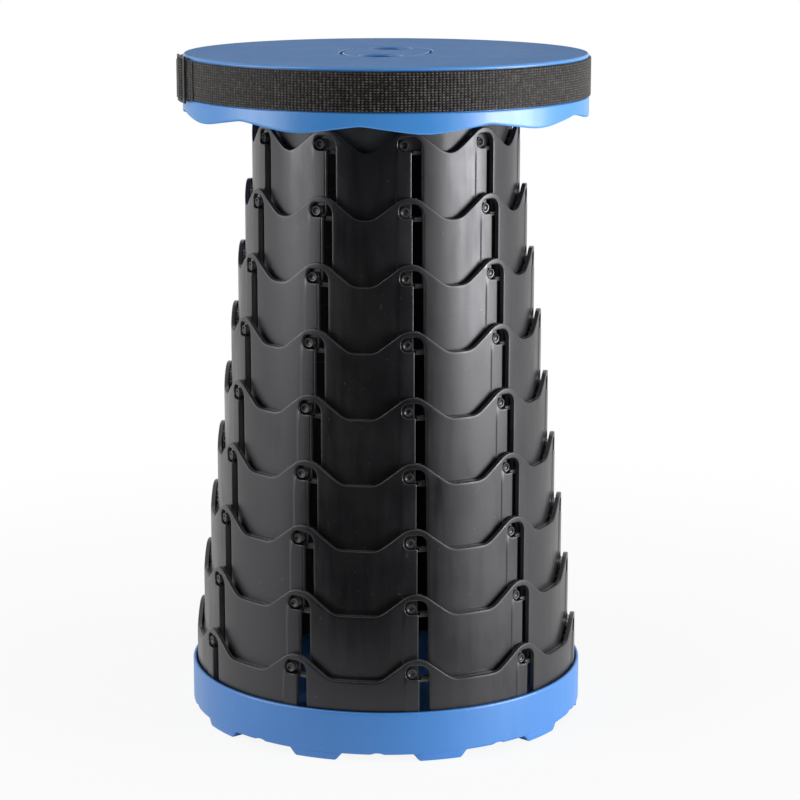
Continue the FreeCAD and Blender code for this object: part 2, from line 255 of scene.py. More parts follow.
def object_place(tree, kind="Object"):
    """Place on the piece in metres, or with the kind Normal the way it faces."""
    return tree.nodes.new("ShaderNodeTexCoord").outputs[kind]


def feed(node, socket, source):
    """Links a source to a socket of a node."""
    node.id_data.links.new(source, node.inputs[socket])


def parts_of(tree, vector):
    """The X, Y and Z of a vector."""
    node = tree.nodes.new("ShaderNodeSeparateXYZ")
    feed(node, "Vector", vector)
    return node.outputs


def noise(tree, place, scale, detail=2.0, roughness=0.5):
    """Noise between 0 and 1 with patches about 1 / scale metres wide."""
    node = tree.nodes.new("ShaderNodeTexNoise")
    for name, value in (("Scale", scale), ("Detail", detail), ("Roughness", roughness)):
        node.inputs[name].default_value = value
    feed(node, "Vector", place)
    return node.outputs["Fac"]


def ramp_between(tree, source, low, high, dark, light):
    """Ramp from one colour to another between two values of its input."""
    ramp = tree.nodes.new("ShaderNodeValToRGB")
    for element, position, colour in zip(ramp.color_ramp.elements, (low, high), (dark, light)):
        element.position = position
        element.color = (*colour, 1)
    feed(ramp, "Fac", source)
    return ramp.outputs["Color"]


def math_node(tree, kind, first, second=None):
    """One step of arithmetic in a shader, on sockets or numbers."""
    node = tree.nodes.new("ShaderNodeMath")
    node.operation = kind
    for index, value in enumerate((first, second)):
        if value is None:
            continue
        if isinstance(value, (int, float)):
            node.inputs[index].default_value = value
        else:
            feed(node, index, value)
    return node.outputs["Value"]


def times(tree, first, second):
    return math_node(tree, "MULTIPLY", first, second)


def vector_value(tree, kind, first, second=None):
    """A number from one vector or two, such as a length or a dot product."""
    node = tree.nodes.new("ShaderNodeVectorMath")
    node.operation = kind
    for socket, vector in zip(node.inputs, (first, second)):
        if vector is not None:
            tree.links.new(vector, socket)
    return node.outputs["Value"]


def ranged(tree, source, before, after, kind="LINEAR"):
    """A value moved from one range to another, and held inside the second."""
    node = tree.nodes.new("ShaderNodeMapRange")
    node.interpolation_type = kind
    for name, value in zip(("From Min", "From Max", "To Min", "To Max"), before + after):
        node.inputs[name].default_value = value
    feed(node, "Value", source)
    return node.outputs["Result"]


def blended(tree, share, under, over):
    """A colour that covers another by a share between 0 and 1."""
    node = tree.nodes.new("ShaderNodeMixRGB")
    feed(node, "Fac", share)
    feed(node, "Color1", under)
    node.inputs["Color2"].default_value = (*over, 1)
    return node.outputs["Color"]


def bumped(tree, height, strength, distance, under=None):
    """Normal bent by a height, over another bent normal if there is one."""
    node = tree.nodes.new("ShaderNodeBump")
    node.inputs["Strength"].default_value = strength
    node.inputs["Distance"].default_value = distance
    feed(node, "Height", height)
    if under is not None:
        feed(node, "Normal", under)
    return node.outputs["Normal"]


print("shader helpers are ready")

# %% [markdown]
# ## Moulded plastic
# The rings are black plastic with a satin skin: almost no colour, and a soft sheen down each panel.
# A flat black would look like a hole. Noise breaks the sheen as a moulded skin does, and Blender's
# Pointiness finds the edges, which are painted lighter: partly wear from use and partly a painted
# highlight along the lips. Faces that a mould doesn't polish are matt: the inside of the rings, the
# slots' sides and the flat top of the seat. The flat top's colour is also painted darker as shade.

# %% Plastic materials
middle_of_noise = (0.3, 0.7)
sharp_edge = (0.525, 0.56)
streak_squeeze = 0.12
matt_inside, matt_top = 0.55, 0.32


def worn_and_highlit_edges(tree, clouds):
    """1 where the mesh bends sharply, less on soft bends, and uneven."""
    edge = tree.nodes.new("ShaderNodeNewGeometry").outputs["Pointiness"]
    worn = ranged(tree, edge, sharp_edge, (0.0, 1.0))
    return times(tree, worn, ranged(tree, clouds, (0.35, 0.6), (0.45, 1.0)))


def flat_top(tree, place, height):
    """1 on faces that look up at a height, and 0 elsewhere."""
    high = ranged(tree, parts_of(tree, place)["Z"], (height - 0.0008, height - 0.0004), (0.0, 1.0))
    facing = parts_of(tree, object_place(tree, "Normal"))["Z"]
    return times(tree, high, ranged(tree, facing, (0.93, 0.985), (0.0, 1.0)))


def moulded_plastic(name, dark, light, roughness, specular, grain, spread=0.04, shaded_matt_top_height=None):
    """Plastic whose colour, gloss and grain of (scale, depth) vary with noise on object coordinates.

    Half of the gloss's noise is stretched upwards, as one ring's rubbing in the next leaves faint
    upright streaks. A face is unpolished where its normal times its place is near or under zero: it
    looks towards the axis or sideways. Dust and worn edges lighten the colour, and the edges'
    lightening is partly a painted highlight. A flat face at the height shaded_matt_top_height is
    matt, and its colour is painted darker as shade.
    """
    sockets = {"Specular IOR Level": specular, "Specular Tint": (0.95, 0.95, 1.0, 1)}
    material, tree, shader = new_material(name, sockets)
    place = object_place(tree)
    stretch = tree.nodes.new("ShaderNodeMapping")
    stretch.inputs["Scale"].default_value = (1.0, 1.0, streak_squeeze)
    feed(stretch, "Vector", place)
    clouds = noise(tree, place, 22.0, 3.0, 0.55)
    streaks = noise(tree, stretch.outputs["Vector"], 150.0, 4.0, 0.6)
    wear_and_highlight = worn_and_highlit_edges(tree, clouds)
    dust = ranged(tree, noise(tree, place, 520.0, 1.0), (0.73, 0.79), (0.0, 0.8))
    colour = ramp_between(tree, clouds, *middle_of_noise, dark, light)
    # Painted highlight: edges are painted lighter, partly real wear and partly highlight lines along
    # the lips; the dust specks are real.
    dust_wear_and_highlight = math_node(tree, "MAXIMUM", wear_and_highlight, dust)
    colour = blended(tree, dust_wear_and_highlight, colour, [1.2 * value + 0.04 for value in light])
    gloss = ranged(tree, streaks, middle_of_noise, (roughness - spread, roughness + spread))
    cloudy = ranged(tree, clouds, middle_of_noise, (-spread, spread))
    outward = vector_value(tree, "DOT_PRODUCT", place, object_place(tree, "Normal"))
    unpolished = ranged(tree, outward, (0.01, 0.04), (matt_inside, 0.0))
    for change in (cloudy, unpolished):
        gloss = math_node(tree, "ADD", gloss, change)
    if shaded_matt_top_height:
        matt_shaded_top = flat_top(tree, place, shaded_matt_top_height)
        gloss = math_node(tree, "ADD", gloss, times(tree, matt_shaded_top, matt_top))
        # Painted shade: the seat's flat top is painted darker than the rest of the same plastic.
        colour = blended(tree, matt_shaded_top, colour, [0.8 * value for value in light])
    polish = times(tree, wear_and_highlight, 0.6 * roughness)
    flow = bumped(tree, streaks, 0.5, 0.6 * grain[1])
    skin = bumped(tree, noise(tree, place, grain[0]), 0.35, grain[1], flow)
    feed(shader, "Base Color", colour)
    feed(shader, "Roughness", math_node(tree, "SUBTRACT", gloss, polish))
    feed(shader, "Normal", skin)
    return material


coarse, fine = (1400.0, 0.00003), (1600.0, 0.00002)
black = ((0.006, 0.006, 0.007), (0.009, 0.009, 0.010))
seat_colours = ((0.037, 0.226, 0.600), (0.041, 0.240, 0.630))
base_colours = ((0.019, 0.180, 0.530), (0.023, 0.193, 0.560))
ring_black = moulded_plastic("ring_black", *black, 0.36, specular=0.6, grain=coarse, spread=0.06)
collar_black = moulded_plastic("collar_black", *black, 0.52, specular=0.22, grain=coarse)
seat_blue = moulded_plastic(
    "seat_blue", *seat_colours, 0.36, specular=0.8, grain=fine, shaded_matt_top_height=seat_top * mm
)
base_blue = moulded_plastic("base_blue", *base_colours, 0.40, specular=1.0, grain=fine)
print("plastics:", ring_black.name, collar_black.name, seat_blue.name, base_blue.name)

# %% [markdown]
# ## A ring's outline
# Unrolled, one column of a ring is a sheet whose upper edge is a wave: a round crest, straight
# flanks and a round trough. A pin of the ring above stands in a notch under the crest, and a slot
# runs down from the notch on its right. The flat part is drawn smaller by the edge radius, and the
# rounding is added outside it later.

# %% Curves of the ring's outline
edge_radius = 0.5
crest_above_pin = 8.6
crest_from_pin = 3.2
crest_rise = 13.4
crest_radius = 13.0
trough_radius = 12.5
trough_place = 26.5
notch_reach = 3.6 + edge_radius
notch_top = 5.1 + edge_radius
slot_left = 4.4 - edge_radius
slot_right = 10.9 + edge_radius
corner_radius = 6.5 + edge_radius
lower_band = 2.6


def wave_height(across, inset, rise, place, top_radius, foot_radius):
    """Height over the trough: a circle over the crest, a line that touches it and a dipping circle.

    across is the distance from the crest, place is where the trough's circle is lowest, and inset
    moves the whole curve into the material.
    """
    top = top_radius - inset
    foot = foot_radius + inset
    up = top_radius + foot_radius - rise
    normal = math.atan2(up, place) + math.acos((top_radius + foot_radius) / math.hypot(place, up))
    top_x, top_z = top * math.cos(normal), rise - top_radius + top * math.sin(normal)
    foot_x, foot_z = place - foot * math.cos(normal), foot_radius - foot * math.sin(normal)
    across = np.abs(across)
    crest = rise - top_radius + np.sqrt(np.maximum(top**2 - across**2, 0))
    flank = top_z + (across - top_x) * (foot_z - top_z) / (foot_x - top_x)
    dip = foot_radius - np.sqrt(np.maximum(foot**2 - (across - place) ** 2, 0))
    curve = np.where(across < top_x, crest, np.where(across < foot_x, flank, dip))
    return np.where(across > place, -inset, curve)


def ring_top(x, radius):
    """Height of a ring's wavy edge over the pin, drawn smaller by the edge radius."""
    across = radius * np.sin((x - crest_from_pin) / radius)
    wave = wave_height(across, edge_radius, crest_rise, trough_place, crest_radius, trough_radius)
    return crest_above_pin - crest_rise + wave


crest = float(ring_top(crest_from_pin, first_radius)) + edge_radius
print("crest", round(crest, 2), "mm over the pin")

# %% [markdown]
# ## A grid that follows the notch
# The wave, the notch and the slot could be cut with booleans, which leave ragged faces. Here the
# grid's own lines follow them: the columns of points are spaced like angles on the notch's circles,
# and the rows run along its edges. Leaving out the faces between them opens the notch and the slot.

# %% Columns and rows of one ring
holding_band = 0.8
strip_edge = (-6.2, -5.7, -5.2, -4.85)
beside_slot = 2.4
side_step = 1.3
evens_out = 14.0
arch_band, notch_band = 5.0, 4.0


def column_places(half_width):
    """Distances along the ring from the pin's column, over one wave from trough to trough."""
    notch_turn = np.radians([0, 14, 26, 36, 44.7, 60, 75])
    corner_turn = np.radians([0, 12, 24, 36, 48, 60, 70, 80])
    middle = np.array([0.0, 1.1, 2.2, 3.2, slot_left])
    corner = slot_right - corner_radius + corner_radius * np.sin(corner_turn)
    left = crest_from_pin - half_width
    return np.concatenate([
        spaced(left, strip_edge[0], side_step), strip_edge, -notch_reach * np.cos(notch_turn), middle,
        corner, spaced(slot_right, slot_right + beside_slot, beside_slot / 2),
        spaced(slot_right + beside_slot, crest_from_pin + half_width, side_step),
    ])


def smooth_step(value, low, high):
    """0 below low, 1 above high, and an S-shaped rise between them."""
    part = np.clip((value - low) / (high - low), 0, 1)
    return part * part * (3 - 2 * part)


def row_levels(x, radius):
    """Heights over the pin of every row at every column: lower band, strip, notch and arch.

    Beside the notch the rows even out: the bands become as high as arch_band and notch_band.
    """
    top = ring_top(x, radius)
    low = edge_radius - pitch - pin_above_edge
    slot_low = low + lower_band - 2 * edge_radius
    reach = np.sqrt(np.maximum(notch_reach**2 - np.minimum(x, 0) ** 2, 0))
    corner_x = np.clip(x - slot_right + corner_radius, 0, corner_radius)
    corner = notch_top - corner_radius + np.sqrt(corner_radius**2 - corner_x**2)
    beside_left = ring_top(-notch_reach, radius) - notch_top + notch_reach
    beside_right = ring_top(slot_right, radius) - notch_top + corner_radius
    away = smooth_step(np.maximum(-x - notch_reach, x - slot_right), 0, evens_out)
    left = x < -notch_reach - 1e-6
    right = x > slot_right - 1e-6
    high_gap = np.where(left, beside_left, beside_right) * (1 - away) + arch_band * away
    low_gap = np.where(left, notch_top - notch_reach, 2.6) * (1 - away) + notch_band * away
    notch_high = np.where(x < 0, notch_top - notch_reach + reach, corner)
    arch_low = np.where(left | right, top - high_gap, notch_high)
    strip_high = np.where(left | right, arch_low - low_gap, -reach)
    panel_low, panel_high = slot_low + edge_radius, strip_high - holding_band
    bands = (
        (low, slot_low, 1), (slot_low, panel_low, 1), (panel_low, panel_high, 7),
        (panel_high, strip_high, 1), (strip_high, arch_low, 3), (arch_low, top, 4),
    )
    rows = [np.broadcast_to(low, x.shape)]
    for start, end, count in bands:
        rows += [start + (end - start) * step / count for step in range(1, count + 1)]
    return np.stack([np.broadcast_to(row, x.shape) for row in rows], axis=1)


slot_rows = (1, 10)
notch_rows = (10, 13)
sample_x = column_places(math.pi * first_radius / column_count)
print("one column of the smallest ring:", row_levels(sample_x, first_radius).shape)

# %% [markdown]
# ## Rounding every edge of the sheet
# A Bevel modifier could round the edges, but it stumbles where the arch over a pin is narrow. So
# every free edge of the grid gets its own rounding. The direction out of the material at an edge
# point is the mean of its two edges' directions, and a quarter circle is drawn along it, then the
# thickness of the wall down to the inner face.

# %% Free edges and their rounding
def free_edges(faces):
    """Edges that only one face uses, as (from, to) in that face's direction."""
    edges = np.stack([faces, np.roll(faces, -1, axis=1)], axis=-1).reshape(-1, 2)
    both_ways = np.sort(edges, axis=1)
    number, count = np.unique(both_ways, axis=0, return_inverse=True, return_counts=True)[1:]
    return edges[count[number.reshape(-1)] == 1]


def outward_steps(s, z, edges, around):
    """At each edge point, the step in the unrolled sheet that moves both of its edges out by one."""
    here, there = edges.T
    along = np.stack([s[there] - s[here], z[there] - z[here]], axis=1)
    along[:, 0] -= around * np.round(along[:, 0] / around)
    along /= np.linalg.norm(along, axis=1)[:, None]
    side = np.stack([along[:, 1], -along[:, 0]], axis=1)
    total = np.zeros((len(s), 2))
    np.add.at(total, here, side)
    np.add.at(total, there, side)
    return 2 * total / np.maximum((total**2).sum(axis=1), 1e-6)[:, None]


strip_proud = 0.5
strip_left, strip_right, strip_top = (-5.3, -4.2), (3.9, 4.9), (-3.0, -1.0)
groove_half, groove_depth = 3.3, 0.6


def strip_rise(x, z):
    """Raised strip under the notch: it rises softly on its left and ends at the slot."""
    across = smooth_step(x, *strip_left) * (1 - smooth_step(x, *strip_right))
    return strip_proud * across * (1 - smooth_step(z, *strip_top))


def wall_depth(x, z):
    """Depth of the inner face: the wall's thickness, or the skin in front of the pin's groove."""
    groove_low = lower_band - pitch - pin_above_edge - 0.1
    in_groove = (np.abs(x) < groove_half) & (z < 0) & (z > groove_low)
    return np.where(in_groove, groove_depth, wall)


def ring_sheet(number):
    """Outer face, rounded edges and inner face of a ring, as (points, faces) pairs."""
    radius = ring_radius(number)
    around = 2 * math.pi * radius
    places = column_places(around / column_count / 2)
    levels = row_levels(places, radius)
    columns, rows = levels.shape
    start = np.arange(column_count)[:, None] * around / column_count
    s = np.repeat((places + start).reshape(-1), rows)
    x = np.tile(np.repeat(places, rows), column_count)
    z = np.tile(levels.reshape(-1), column_count)
    cell_x = np.repeat(np.tile(places + np.append(np.diff(places), 0.1) / 2, column_count), rows - 1)
    row = np.tile(np.arange(rows - 1), columns * column_count)
    is_open = False
    for left, (low, high) in ((slot_left, slot_rows), (-notch_reach, notch_rows)):
        is_open |= (cell_x > left) & (cell_x < slot_right) & (row >= low) & (row < high)
    faces = grid_faces(columns * column_count, rows, wrap_columns=True)[~is_open]
    edges = free_edges(faces)
    out = outward_steps(s, z, edges, around)
    rise = strip_rise(x, z)
    depth = wall_depth(x, z)
    pin_height = ring_low(number) + pin_above_edge + pitch

    def placed(step, below):
        """The sheet's points, moved out along its free edges by step and down into the wall."""
        angle = first_column + np.degrees((s + out[:, 0] * step) / radius)
        return on_cylinder(radius + rise - below, angle, pin_height + z + out[:, 1] * step)

    turns = np.radians([0, 30, 60, 90])
    layers = [placed(edge_radius * np.sin(turn), edge_radius * (1 - np.cos(turn))) for turn in turns]
    layers += [placed(edge_radius, rise + depth), placed(0.0, rise + depth)]
    parts = [(layers[0], faces), (layers[-1], faces[:, ::-1])]
    here, there = edges.T
    order = np.arange(4 * len(edges)).reshape(4, -1).T
    for near, far in zip(layers[:-1], layers[1:]):
        parts.append((np.concatenate([near[here], far[here], far[there], near[there]]), order))
    return parts


print("smallest ring:", sum(len(faces) for points, faces in ring_sheet(1)), "faces")

# %% [markdown]
# ## Pins and the foot of a ring
# The pins are short round buttons moulded on the ring, with a rounded rim and a small dimple. A pin
# is a profile turned about its own axis, which points away from the stool's. Under the pins a thin
# flange guides the ring inside the next one.

# %% Pins and flanges
pin_radius = 2.9
pin_tip_recess = 0.8
base_inner = base_radius - 2.2


def pin_button(angle, height, root, tip):
    """A profile of (own radius, distance from the stool's axis), turned about the pin's axis."""
    rim = [(2.82, tip - 0.2), (2.6, tip), (2.15, tip), (1.9, tip - 0.12)]
    bowl = [(1.6, tip - 0.55), (1.2, tip - 0.75), (0.0, tip - 0.75)]
    profile = np.array([(0.0, root), (pin_radius, root), (pin_radius, tip - 0.5)] + rim + bowl)
    aside, up, away, faces = turned_profile(profile)
    return np.stack([aside, -away, height + up], axis=-1) @ about_axis(angle), faces


def ring_foot(number):
    """Pins and flange of a ring; number 0 is the collar under the seat."""
    radius = ring_radius(number)
    low = ring_low(number)
    bore = base_inner if number == ring_count else ring_radius(number + 1) - wall
    tip = base_radius - 1.0 if number == ring_count else ring_radius(number + 1) - pin_tip_recess
    pin = pin_button(first_column, low + pin_above_edge, radius - 0.3, tip)
    flange = swept(rounded_box(radius - 0.5, bore - 0.2, low, low + 1.0, 0.2, 1), full_circle)
    angles = first_column + np.degrees(np.array([5.8, 8.4, 10.9]) / bore)
    step = swept(rounded_box(radius - 0.5, bore - 0.2, low, low + 2.4, 0.25, 2), angles, closed=False)
    return all_round([pin] + step) + flange


for number in range(1, ring_count + 1):
    body = "base" if number == ring_count else f"tier_{number}"
    parts = ring_sheet(number) + ring_foot(number)
    make_piece(f"ring_{number}", parts, ring_black, body, [f"tier_{number}"])

# %% [markdown]
# ## The collar under the seat
# The smallest black ring doesn't slide: it is screwed to the underside of the seat, through a shelf
# inside it. Only its pins and a little of its wall show, so a plain turned profile will do.

# %% Collar
top_thickness = 3.0
boss_height = 6.0
shelf_width = 12.5
collar_outer, collar_inner = ring_radius(0), ring_radius(0) - wall
low, high = ring_low(0), seat_top - top_thickness
shelf_low, shelf_high = high - boss_height - wall, high - boss_height
shelf_end = collar_inner - shelf_width
collar_outline = np.array([
    (collar_inner, low), (collar_outer, low), (collar_outer, high), (collar_inner, high),
    (collar_inner, shelf_high), (shelf_end, shelf_high), (shelf_end, shelf_low),
    (collar_inner, shelf_low),
])
collar_parts = swept(collar_outline, full_circle) + ring_foot(0)
make_piece("seat_collar", collar_parts, collar_black, "seat", ["top_collar"])

# %% [markdown]
# ## The seat's outline
# The seat is one moulding: a flat top, a small rounded lip, a shallow channel for the strap and a
# skirt with a scalloped edge. It could be turned from one profile, but the scallops and the window
# for the oval plate change with the angle, so each row of points has a radius and a height of its
# own at every angle. The ribs under the top leave faint sink marks, which are drawn too.

# %% Curves of the seat
plate_length, plate_width = 47.5, 26.2
plate_gap, side_gap = 0.9, 2.16
plate_turn = -6.1
ledge_width, ledge_depth = 3.0, 2.0
skirt_inner = ring_radius(ring_count) + 0.9
skirt_low = seat_top - 38.0
scallop_middle, scallop_rise = 11.0, 4.4
scallop_low_radius, scallop_high_radius = 80.0, 26.0
strap_top = seat_top - 2.2
strap_low = strap_top - 23.1
seat_under = seat_top - top_thickness
lip_radius = 1.4
rib_circle = 61.0


def oval_reach(angle, half_length, half_width):
    """Distance from the middle of an oval to its edge in a direction."""
    turn = np.radians(angle - plate_turn)
    return half_length * half_width / np.hypot(half_width * np.cos(turn), half_length * np.sin(turn))


def bump_at(value, middle, width):
    """1 at the middle, falling smoothly to 0 on both sides."""
    return np.exp(-(((value - middle) / width) ** 2))


def sink_marks(radius, angle):
    """Depth of the marks that a round rib and the straight ribs leave on the top."""
    from_rib = (angle - first_column + column_step / 2) % column_step - column_step / 2
    beside = radius * np.radians(from_rib)
    inner_ribs = smooth_step(radius, 52, 58) * (1 - smooth_step(radius, 70, 74))
    outer_ribs = smooth_step(radius, 78, 84) * (1 - smooth_step(radius, 112, 118))
    straight = bump_at(beside, 0, 2.2) * (inner_ribs + outer_ribs)
    return 0.07 * bump_at(radius, rib_circle, 2.0) + 0.05 * bump_at(radius, 76.2, 2.4) + 0.05 * straight


def skirt_edge(angle):
    """Height of the scalloped lower edge: a wave like a ring's, upside down."""
    from_low = (angle - scallop_middle + column_step / 2) % column_step - column_step / 2
    across = seat_radius * np.sin(np.radians(from_low))
    place = seat_radius * math.sin(math.radians(column_step / 2))
    wave = wave_height(across, 0.0, scallop_rise, place, scallop_low_radius, scallop_high_radius)
    return skirt_low + scallop_rise - wave


def skirt_rows(edge):
    """Rows down the inside of the skirt, round its edge and up through the channel to the lip."""
    inside = [(skirt_inner - 1.0, seat_under), (skirt_inner, seat_under - 1.0)]
    inside += [(skirt_inner, edge + 0.5), (skirt_inner + 0.15, edge + 0.15), (skirt_inner + 0.5, edge)]
    outside = [(0.8, edge), (0.25, edge + 0.2), (0.0, edge + 0.8), (0.0, edge + 1.6), (0.0, edge + 2.4)]
    channel = [(0.0, strap_low - below) for below in (2.4, 1.7, 1.0)]
    channel += [(0.2, strap_low - 0.5), (0.8, strap_low - 0.3), (0.8, strap_top + 0.3)]
    channel += [(0.6, strap_top + 0.35), (0.45, strap_top + 0.5)]
    return inside + [(seat_radius - depth, height) for depth, height in outside + channel]


def seat_rows(angle):
    """All rows of the seat: under the top, skirt, channel, lip, top, window and ledge."""
    window = oval_reach(angle, plate_length + plate_gap, plate_width + side_gap)
    at_side = smooth_step(np.abs(np.sin(np.radians(angle - plate_turn))), 0.94, 0.98)
    ledge, brim = window - ledge_width * (1 - at_side), window + ledge_width
    rows = [(brim, seat_under - ledge_depth), (brim, seat_under)] + skirt_rows(skirt_edge(angle))
    lip = seat_radius - 0.4
    rows += rounded_edge(lip, seat_top, lip_radius, (0, 22, 45, 68, 90))
    for part in np.linspace(0.004, 0.996, 44):
        radius = (lip - lip_radius) * (1 - part) + (window + 0.4) * part
        rows.append((radius, seat_top - sink_marks(radius, angle)))
    rows += [(window + 0.4, seat_top), (window + 0.12, seat_top - 0.12), (window, seat_top - 0.4)]
    rows += [(window, seat_under), (ledge, seat_under), (ledge, seat_under - ledge_depth)]
    return rows


print("skirt's edge from", round(skirt_low, 1), "to", round(skirt_low + scallop_rise, 1), "mm")

# %% [markdown]
# ## The seat's ribs and bosses
# Ribs stiffen the thin top, and five bosses hold the collar's screws. They are boxes and posts that
# sink a little into the top, so they need no joint in the mesh.

# %% Seat shell
rib_thickness = 2.0
inner_rib_depth, outer_rib_depth = 5.0, 2.0
collar_gap = 0.6
boss_radius = 4.2
into_top = 0.2


def radial_rib(near, far, low, high, angle):
    """Straight bar that points away from the axis in a direction."""
    half = rib_thickness / 2
    corners = np.array([(x, y, z) for x in (-half, half) for y in (-near, -far) for z in (low, high)])
    sides = [(0, 1, 3, 2), (4, 6, 7, 5), (0, 4, 5, 1), (2, 3, 7, 6), (0, 2, 6, 4), (1, 5, 7, 3)]
    return corners @ about_axis(angle), np.array(sides)


def upright_post(place, radius, low, high):
    """Cylinder on an upright axis at a place."""
    profile = np.array([(0.0, low), (radius, low), (radius, high), (0.0, high)])
    x, y, z, faces = turned_profile(profile)
    return np.stack([place[0] + x, place[1] + y, z], axis=-1), faces


rib_top = seat_under + into_top
inner_low = seat_under - inner_rib_depth
inner_rib = radial_rib(rib_circle, collar_inner - collar_gap, inner_low, rib_top, first_column)
outer_rib = radial_rib(
    collar_outer + collar_gap, skirt_inner + 0.5, seat_under - outer_rib_depth, rib_top, first_column
)
rib_ring = rounded_box(rib_circle - 1, rib_circle + 1, inner_low, rib_top, 0.15, 1)
screw_place = on_cylinder(collar_inner - shelf_width / 2, first_column, 0.0)
boss = upright_post(screw_place, boss_radius, seat_under - boss_height, rib_top)
seat_angles = spaced(0, 360, 2 / 3)
seat_parts = swept(stacked_rows(seat_rows(seat_angles), seat_angles), seat_angles)
seat_parts += all_round([inner_rib, outer_rib]) + swept(rib_ring, full_circle) + all_round([boss], 5)
make_piece("seat", seat_parts, seat_blue, "seat", ["seat_shell"], sharp=50)

# %% [markdown]
# ## The oval plate
# An oval insert fills the window in the seat, with two round holes for the fingers. A disc with two
# holes has no simple grid, but half of it has: lines run from the rim of one hole to the half oval
# and to the middle line. The other half is the same one turned round. Under each hole hangs a short
# tube. The plate is a little narrower than its window, so a dark gap shows at both sides.

# %% Finger plate
hole_radius = 12.25
hole_place = 30.5
hole_corner = 1.6
plate_corner = 0.3
tube_depth, tube_wall = 10.0, 2.0


def half_outline(inset):
    """Points round half of the oval: along its edge, then back along the middle line."""
    turn = np.radians(np.linspace(-90, 90, 73))
    edge = (plate_length - inset, plate_width - inset) * np.stack([np.cos(turn), np.sin(turn)], axis=1)
    across = np.linspace(plate_width - inset, inset - plate_width, 33)[1:-1]
    middle = np.stack([np.zeros(31), across], axis=1)
    return np.concatenate([edge, middle])


def ring_of_hole(outline, radius):
    """Point of the hole's circle in the direction of each point of an outline."""
    way = outline - (hole_place, 0)
    way /= np.linalg.norm(way, axis=1)[:, None]
    return (hole_place, 0) + radius * way


def plate_rows():
    """Rows of (along, across, height) from the top's edge through the hole to the underside."""
    outline = half_outline(plate_corner)
    rows = []
    for part in np.linspace(0, 1, 9):
        hole = ring_of_hole(outline, hole_radius + hole_corner)
        rows.append((outline * (1 - part) + hole * part, seat_top))
    for turn in np.radians([20, 40, 60, 80, 90]):
        radius = hole_radius + hole_corner * (1 - math.sin(turn))
        rows.append((ring_of_hole(outline, radius), seat_top - hole_corner * (1 - math.cos(turn))))
    end = seat_under - tube_depth
    tube = [(0.0, end + 0.5), (0.5, end), (tube_wall - 0.5, end), (tube_wall, end + 0.5)]
    for wider, height in tube + [(tube_wall, seat_under)]:
        rows.append((ring_of_hole(outline, hole_radius + wider), height))
    rows.append((half_outline(0.0), seat_under))
    return np.stack([np.column_stack([flat, np.full(len(flat), height)]) for flat, height in rows])


def plate_half(turn):
    """Half of the plate as (points, faces) pairs, turned to its place on the seat."""
    loops = plate_rows()
    flat = np.stack([loops[..., 1], -loops[..., 0], loops[..., 2]], axis=-1)
    points = flat @ about_axis(plate_turn + turn)
    shoulder = points[-1, :73].copy()
    shoulder[:, 2] = seat_top - plate_corner
    side = np.stack([points[0, :73], shoulder, points[-1, :73]])
    return [(points, grid_faces(*loops.shape[:2], wrap_rows=True)[:, ::-1]), (side, grid_faces(3, 73))]


plate_parts = plate_half(0) + plate_half(180)
make_piece("oval_plate", plate_parts, seat_blue, "seat", ["finger_plate"])

# %% [markdown]
# ## Webbing
# The strap is woven from coarse yarn. An image of cloth would be one way. Here the shader works it
# out: the angle round the seat and the height give a place on the strap, two waves give the yarns
# along and across it, and noise makes them uneven. The yarns carry light flecks, and the gaps
# between them are painted darker as shade.

# %% Webbing material
def yarn_wave(tree, distance, shift, length):
    """A wave between 0 and 1 along a distance, one yarn long, that a shift makes uneven."""
    turned = times(tree, math_node(tree, "ADD", distance, shift), 2 * math.pi / length)
    half = times(tree, math_node(tree, "COSINE", turned), 0.5)
    return math_node(tree, "ADD", half, 0.5)


def woven_strap(name, yarn, radius):
    """Plain weave: the product of a wave along the strap and one across it, each one yarn long."""
    material, tree, shader = new_material(name, {"Roughness": 0.5, "Specular IOR Level": 0.26})
    place = object_place(tree)
    parts = parts_of(tree, place)
    back = times(tree, parts["Y"], -1.0)
    along = times(tree, math_node(tree, "ARCTAN2", parts["X"], back), radius)
    wobble = math_node(tree, "SUBTRACT", noise(tree, place, 160.0), 0.5)
    shift = times(tree, wobble, 0.0006)
    along_wave = math_node(tree, "ADD", yarn_wave(tree, along, shift, yarn[0]), 0.35)
    across_wave = math_node(tree, "ADD", yarn_wave(tree, parts["Z"], shift, yarn[1]), 0.35)
    weave = times(tree, along_wave, across_wave)
    fibres = times(tree, noise(tree, place, 2200.0), 0.8)
    bent = bumped(tree, math_node(tree, "ADD", weave, fibres), 0.7, 0.0003)
    specks = math_node(tree, "POWER", noise(tree, place, 420.0, 3.0, 0.7), 2.0)
    # Painted shade: the colour follows the weave and is dark in the gaps between the yarns; the flecks
    # are the yarn's own.
    flecks_and_painted_weave_shade = times(tree, times(tree, weave, specks), 1.4)
    colour = ramp_between(tree, flecks_and_painted_weave_shade, 0.22, 0.85, (0.0022, 0.0017, 0.0016), (0.125, 0.105, 0.097))
    feed(shader, "Normal", bent)
    feed(shader, "Base Color", colour)
    return material


webbing = woven_strap("strap_webbing", (0.0022, 0.0015), 0.125)
print("webbing:", webbing.name)

# %% [markdown]
# ## The strap
# One length of webbing goes round the seat in the channel, and its doubled end lies over it on the
# left and passes over the buckle's middle bar. It is a flat band swept round the seat, and the end is
# a second band whose distance from the axis changes on the way.

# %% Strap
strap_inner = seat_radius - 0.7
strap_outer = strap_inner + 1.6
tail_thickness = 1.2
tail_start, tail_end = -66.0, -96.0
buckle_angle = -76.0
bar_width, gap_width = 3.0, 7.5
buckle_inner = strap_outer + tail_thickness + 0.1
buckle_outer = buckle_inner + 1.3
degree = math.degrees(1 / buckle_inner)


